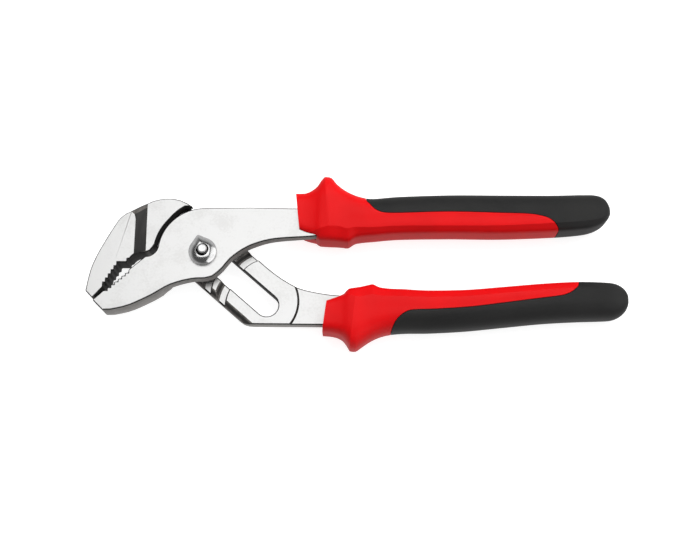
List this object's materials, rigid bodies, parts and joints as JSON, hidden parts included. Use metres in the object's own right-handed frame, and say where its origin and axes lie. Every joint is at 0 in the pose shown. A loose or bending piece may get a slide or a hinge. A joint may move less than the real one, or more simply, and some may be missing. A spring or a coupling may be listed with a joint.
{
  "type": "tongue and groove pliers",
  "caption": "Adjustable pliers with angled serrated jaws, a slotted bar with locking grooves, a bolt and pear nut at the joint, and two-colour guarded grips.",
  "frame": {"origin": "on the pivot axis, on the flat end of the bolt's hexagon head, which is also the plane the tool rests on", "axes": "+Z along the pivot axis from the bolt's head to the nut; +X along the handles, away from the jaws; +Y towards the upper handle, which is the handle of the lower jaw"},
  "size_m": [0.25, 0.0835, 0.0223],
  "materials": {
    "satin_steel": "satin, fine ground grain",
    "polished_steel": "polished",
    "zinc_steel": "dull zinc plate",
    "red_grip": "semi-gloss moulded",
    "black_grip": "matte soft moulded"
  },
  "bodies": {
    "rear_arm": {"rear_lever": "satin_steel", "lower_grip_sleeve": "red_grip", "lower_grip_inlay": "black_grip"},
    "slot_follower": {"slot_washer": "zinc_steel"},
    "front_arm": {"front_lever": "satin_steel", "pivot_bolt": "polished_steel", "pear_nut": "polished_steel", "upper_grip_sleeve": "red_grip", "upper_grip_inlay": "black_grip"}
  },
  "joints": [
    {"name": "groove_shift", "type": "slide", "parent": "rear_arm", "child": "slot_follower", "axis": [0.7501, -0.6613, 0], "range_m": [0, 0.0273]},
    {"name": "handle_swing", "type": "hinge", "parent": "slot_follower", "child": "front_arm", "pos_m": [0, 0, 0], "axis": [0, 0, 1], "range_deg": [0, 30]}
  ]
}
